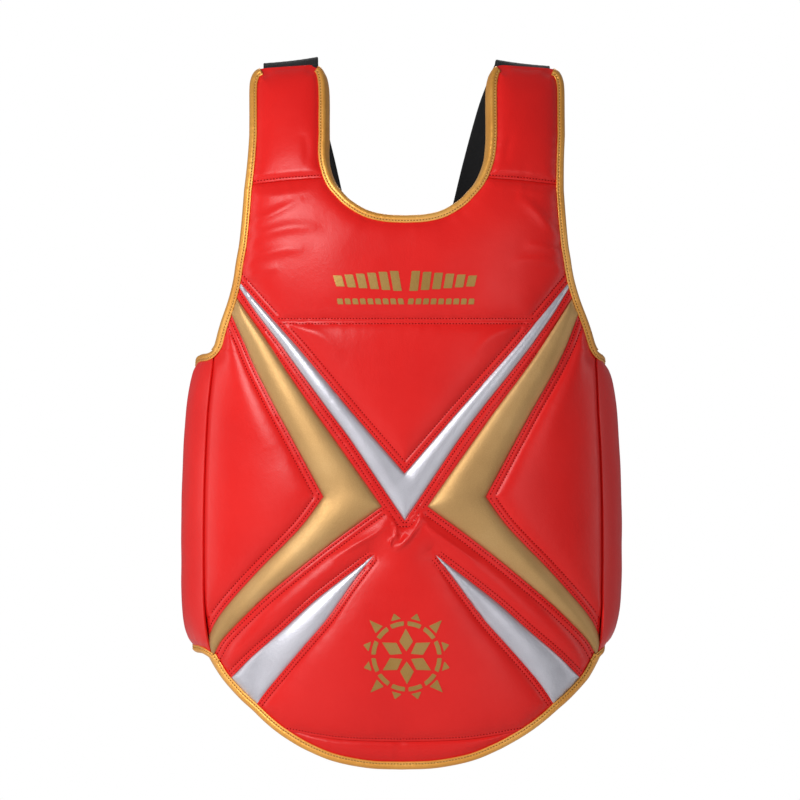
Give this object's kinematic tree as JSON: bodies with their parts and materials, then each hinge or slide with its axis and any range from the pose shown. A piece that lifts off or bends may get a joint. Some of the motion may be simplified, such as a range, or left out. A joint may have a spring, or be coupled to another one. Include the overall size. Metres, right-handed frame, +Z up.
{
  "type": "chest protector",
  "caption": "Padded martial arts body protector: quilted front with shoulder panels and folding side wings, worn on a webbing harness with an elastic waist belt.",
  "frame": {"origin": "on the wearer's upright axis at the level of the lowest point of the hem", "axes": "+Z up, the front faces -Y, +X to the right of someone looking at the front"},
  "size_m": [0.398, 0.259, 0.6405],
  "materials": {
    "red_leather": "satin",
    "gold_leather": "satin",
    "silver_leather": "satin",
    "gold_binding": "satin",
    "gold_print": "satin",
    "foam": "matte",
    "lining": "matte",
    "webbing": "matte",
    "elastic": "matte",
    "loop_pile": "matte",
    "hook_tape": "matte",
    "black_plastic": "satin"
  },
  "bodies": {
    "front": {"yoke_panel": "red_leather", "triangle_panel": "red_leather", "v_band": "silver_leather", "left_chest_strip": "red_leather", "right_chest_strip": "red_leather", "left_chevron": "gold_leather", "right_chevron": "gold_leather", "left_side_panel": "red_leather", "right_side_panel": "red_leather", "left_dart_strip": "red_leather", "right_dart_strip": "red_leather", "left_dart": "silver_leather", "right_dart": "silver_leather", "belly_panel": "red_leather", "hem_band": "red_leather", "chest_print": "gold_print", "belly_print": "gold_print", "left_shoulder_panel": "red_leather", "right_shoulder_panel": "red_leather", "left_shoulder_foam": "foam", "right_shoulder_foam": "foam", "left_shoulder_lining": "lining", "right_shoulder_lining": "lining", "front_foam": "foam", "front_lining": "lining", "neck_binding": "gold_binding", "left_armhole_binding": "gold_binding", "right_armhole_binding": "gold_binding", "hem_binding": "gold_binding", "left_shoulder_strap": "webbing", "right_shoulder_strap": "webbing", "left_back_ring": "black_plastic", "right_back_ring": "black_plastic", "left_back_tab": "webbing", "right_back_tab": "webbing", "back_patch": "red_leather", "left_belt": "elastic", "right_belt": "elastic", "left_loop_patch": "loop_pile", "right_loop_patch": "loop_pile"},
    "left_wing": {"left_wing_panel": "red_leather", "left_wing_foam": "foam", "left_wing_lining": "lining", "left_wing_binding": "gold_binding", "left_wing_tab": "webbing"},
    "right_wing": {"right_wing_panel": "red_leather", "right_wing_foam": "foam", "right_wing_lining": "lining", "right_wing_binding": "gold_binding", "right_wing_tab": "webbing"},
    "left_ring": {"left_belt_ring": "black_plastic"},
    "right_ring": {"right_belt_ring": "black_plastic"},
    "left_flap": {"left_belt_flap": "elastic", "left_hook_patch": "hook_tape"},
    "right_flap": {"right_belt_flap": "elastic", "right_hook_patch": "hook_tape"},
    "left_adjuster": {"left_adjuster": "black_plastic"},
    "right_adjuster": {"right_adjuster": "black_plastic"}
  },
  "joints": [
    {"name": "left_wing_fold", "type": "hinge", "parent": "front", "child": "left_wing", "pos_m": [-0.1815, -0.067, 0.236], "axis": [0, 0, 1], "range_deg": [0, 25], "stiffness_Nm_per_rad": 1.5},
    {"name": "right_wing_fold", "type": "hinge", "parent": "front", "child": "right_wing", "pos_m": [0.1815, -0.067, 0.236], "axis": [0, 0, -1], "range_deg": [0, 25], "stiffness_Nm_per_rad": 1.5},
    {"name": "left_ring_swing", "type": "hinge", "parent": "left_wing", "child": "left_ring", "pos_m": [-0.163, 0.07031, 0.236], "axis": [0, 0, 1], "range_deg": [0, 25]},
    {"name": "left_flap_peel", "type": "hinge", "parent": "left_ring", "child": "left_flap", "pos_m": [-0.15289, 0.07999, 0.236], "axis": [0, 0, 1], "range_deg": [0, 120]},
    {"name": "right_ring_swing", "type": "hinge", "parent": "right_wing", "child": "right_ring", "pos_m": [0.163, 0.07031, 0.236], "axis": [0, 0, -1], "range_deg": [0, 25]},
    {"name": "right_flap_peel", "type": "hinge", "parent": "right_ring", "child": "right_flap", "pos_m": [0.15289, 0.07999, 0.236], "axis": [0, 0, -1], "range_deg": [0, 120]},
    {"name": "left_strap_adjust", "type": "slide", "parent": "front", "child": "left_adjuster", "axis": [-0.2378, -0.0381, 0.9706], "range_m": [0, 0.05]},
    {"name": "right_strap_adjust", "type": "slide", "parent": "front", "child": "right_adjuster", "axis": [0.2378, -0.0381, 0.9706], "range_m": [0, 0.05]}
  ]
}
